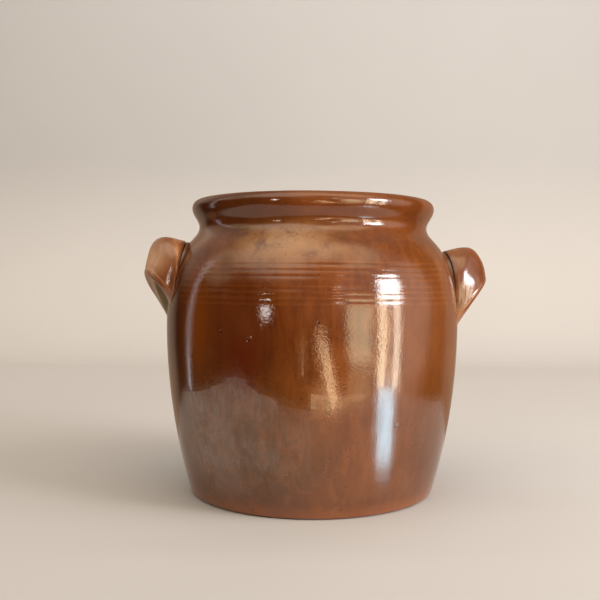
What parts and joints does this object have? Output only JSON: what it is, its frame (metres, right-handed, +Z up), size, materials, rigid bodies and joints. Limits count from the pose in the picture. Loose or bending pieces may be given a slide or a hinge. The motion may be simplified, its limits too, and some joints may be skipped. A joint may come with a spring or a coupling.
{
  "type": "lard pot",
  "caption": "Glazed stoneware lard pot with a round belly, turned shoulder lines, a drawn-in neck, a rolled rim and hooded ear handles luted to the shoulder.",
  "frame": {"origin": "centre of the foot, on the surface the pot stands on", "axes": "+Z up through the mouth, +X through the right ear, front of the pot at -Y"},
  "size_m": [0.2625, 0.2224, 0.22],
  "materials": {
    "body_glaze": "gloss",
    "ear_glaze": "gloss"
  },
  "bodies": {
    "root": {"pot_body": "body_glaze", "left_ear": "ear_glaze", "right_ear": "ear_glaze"}
  },
  "joints": []
}
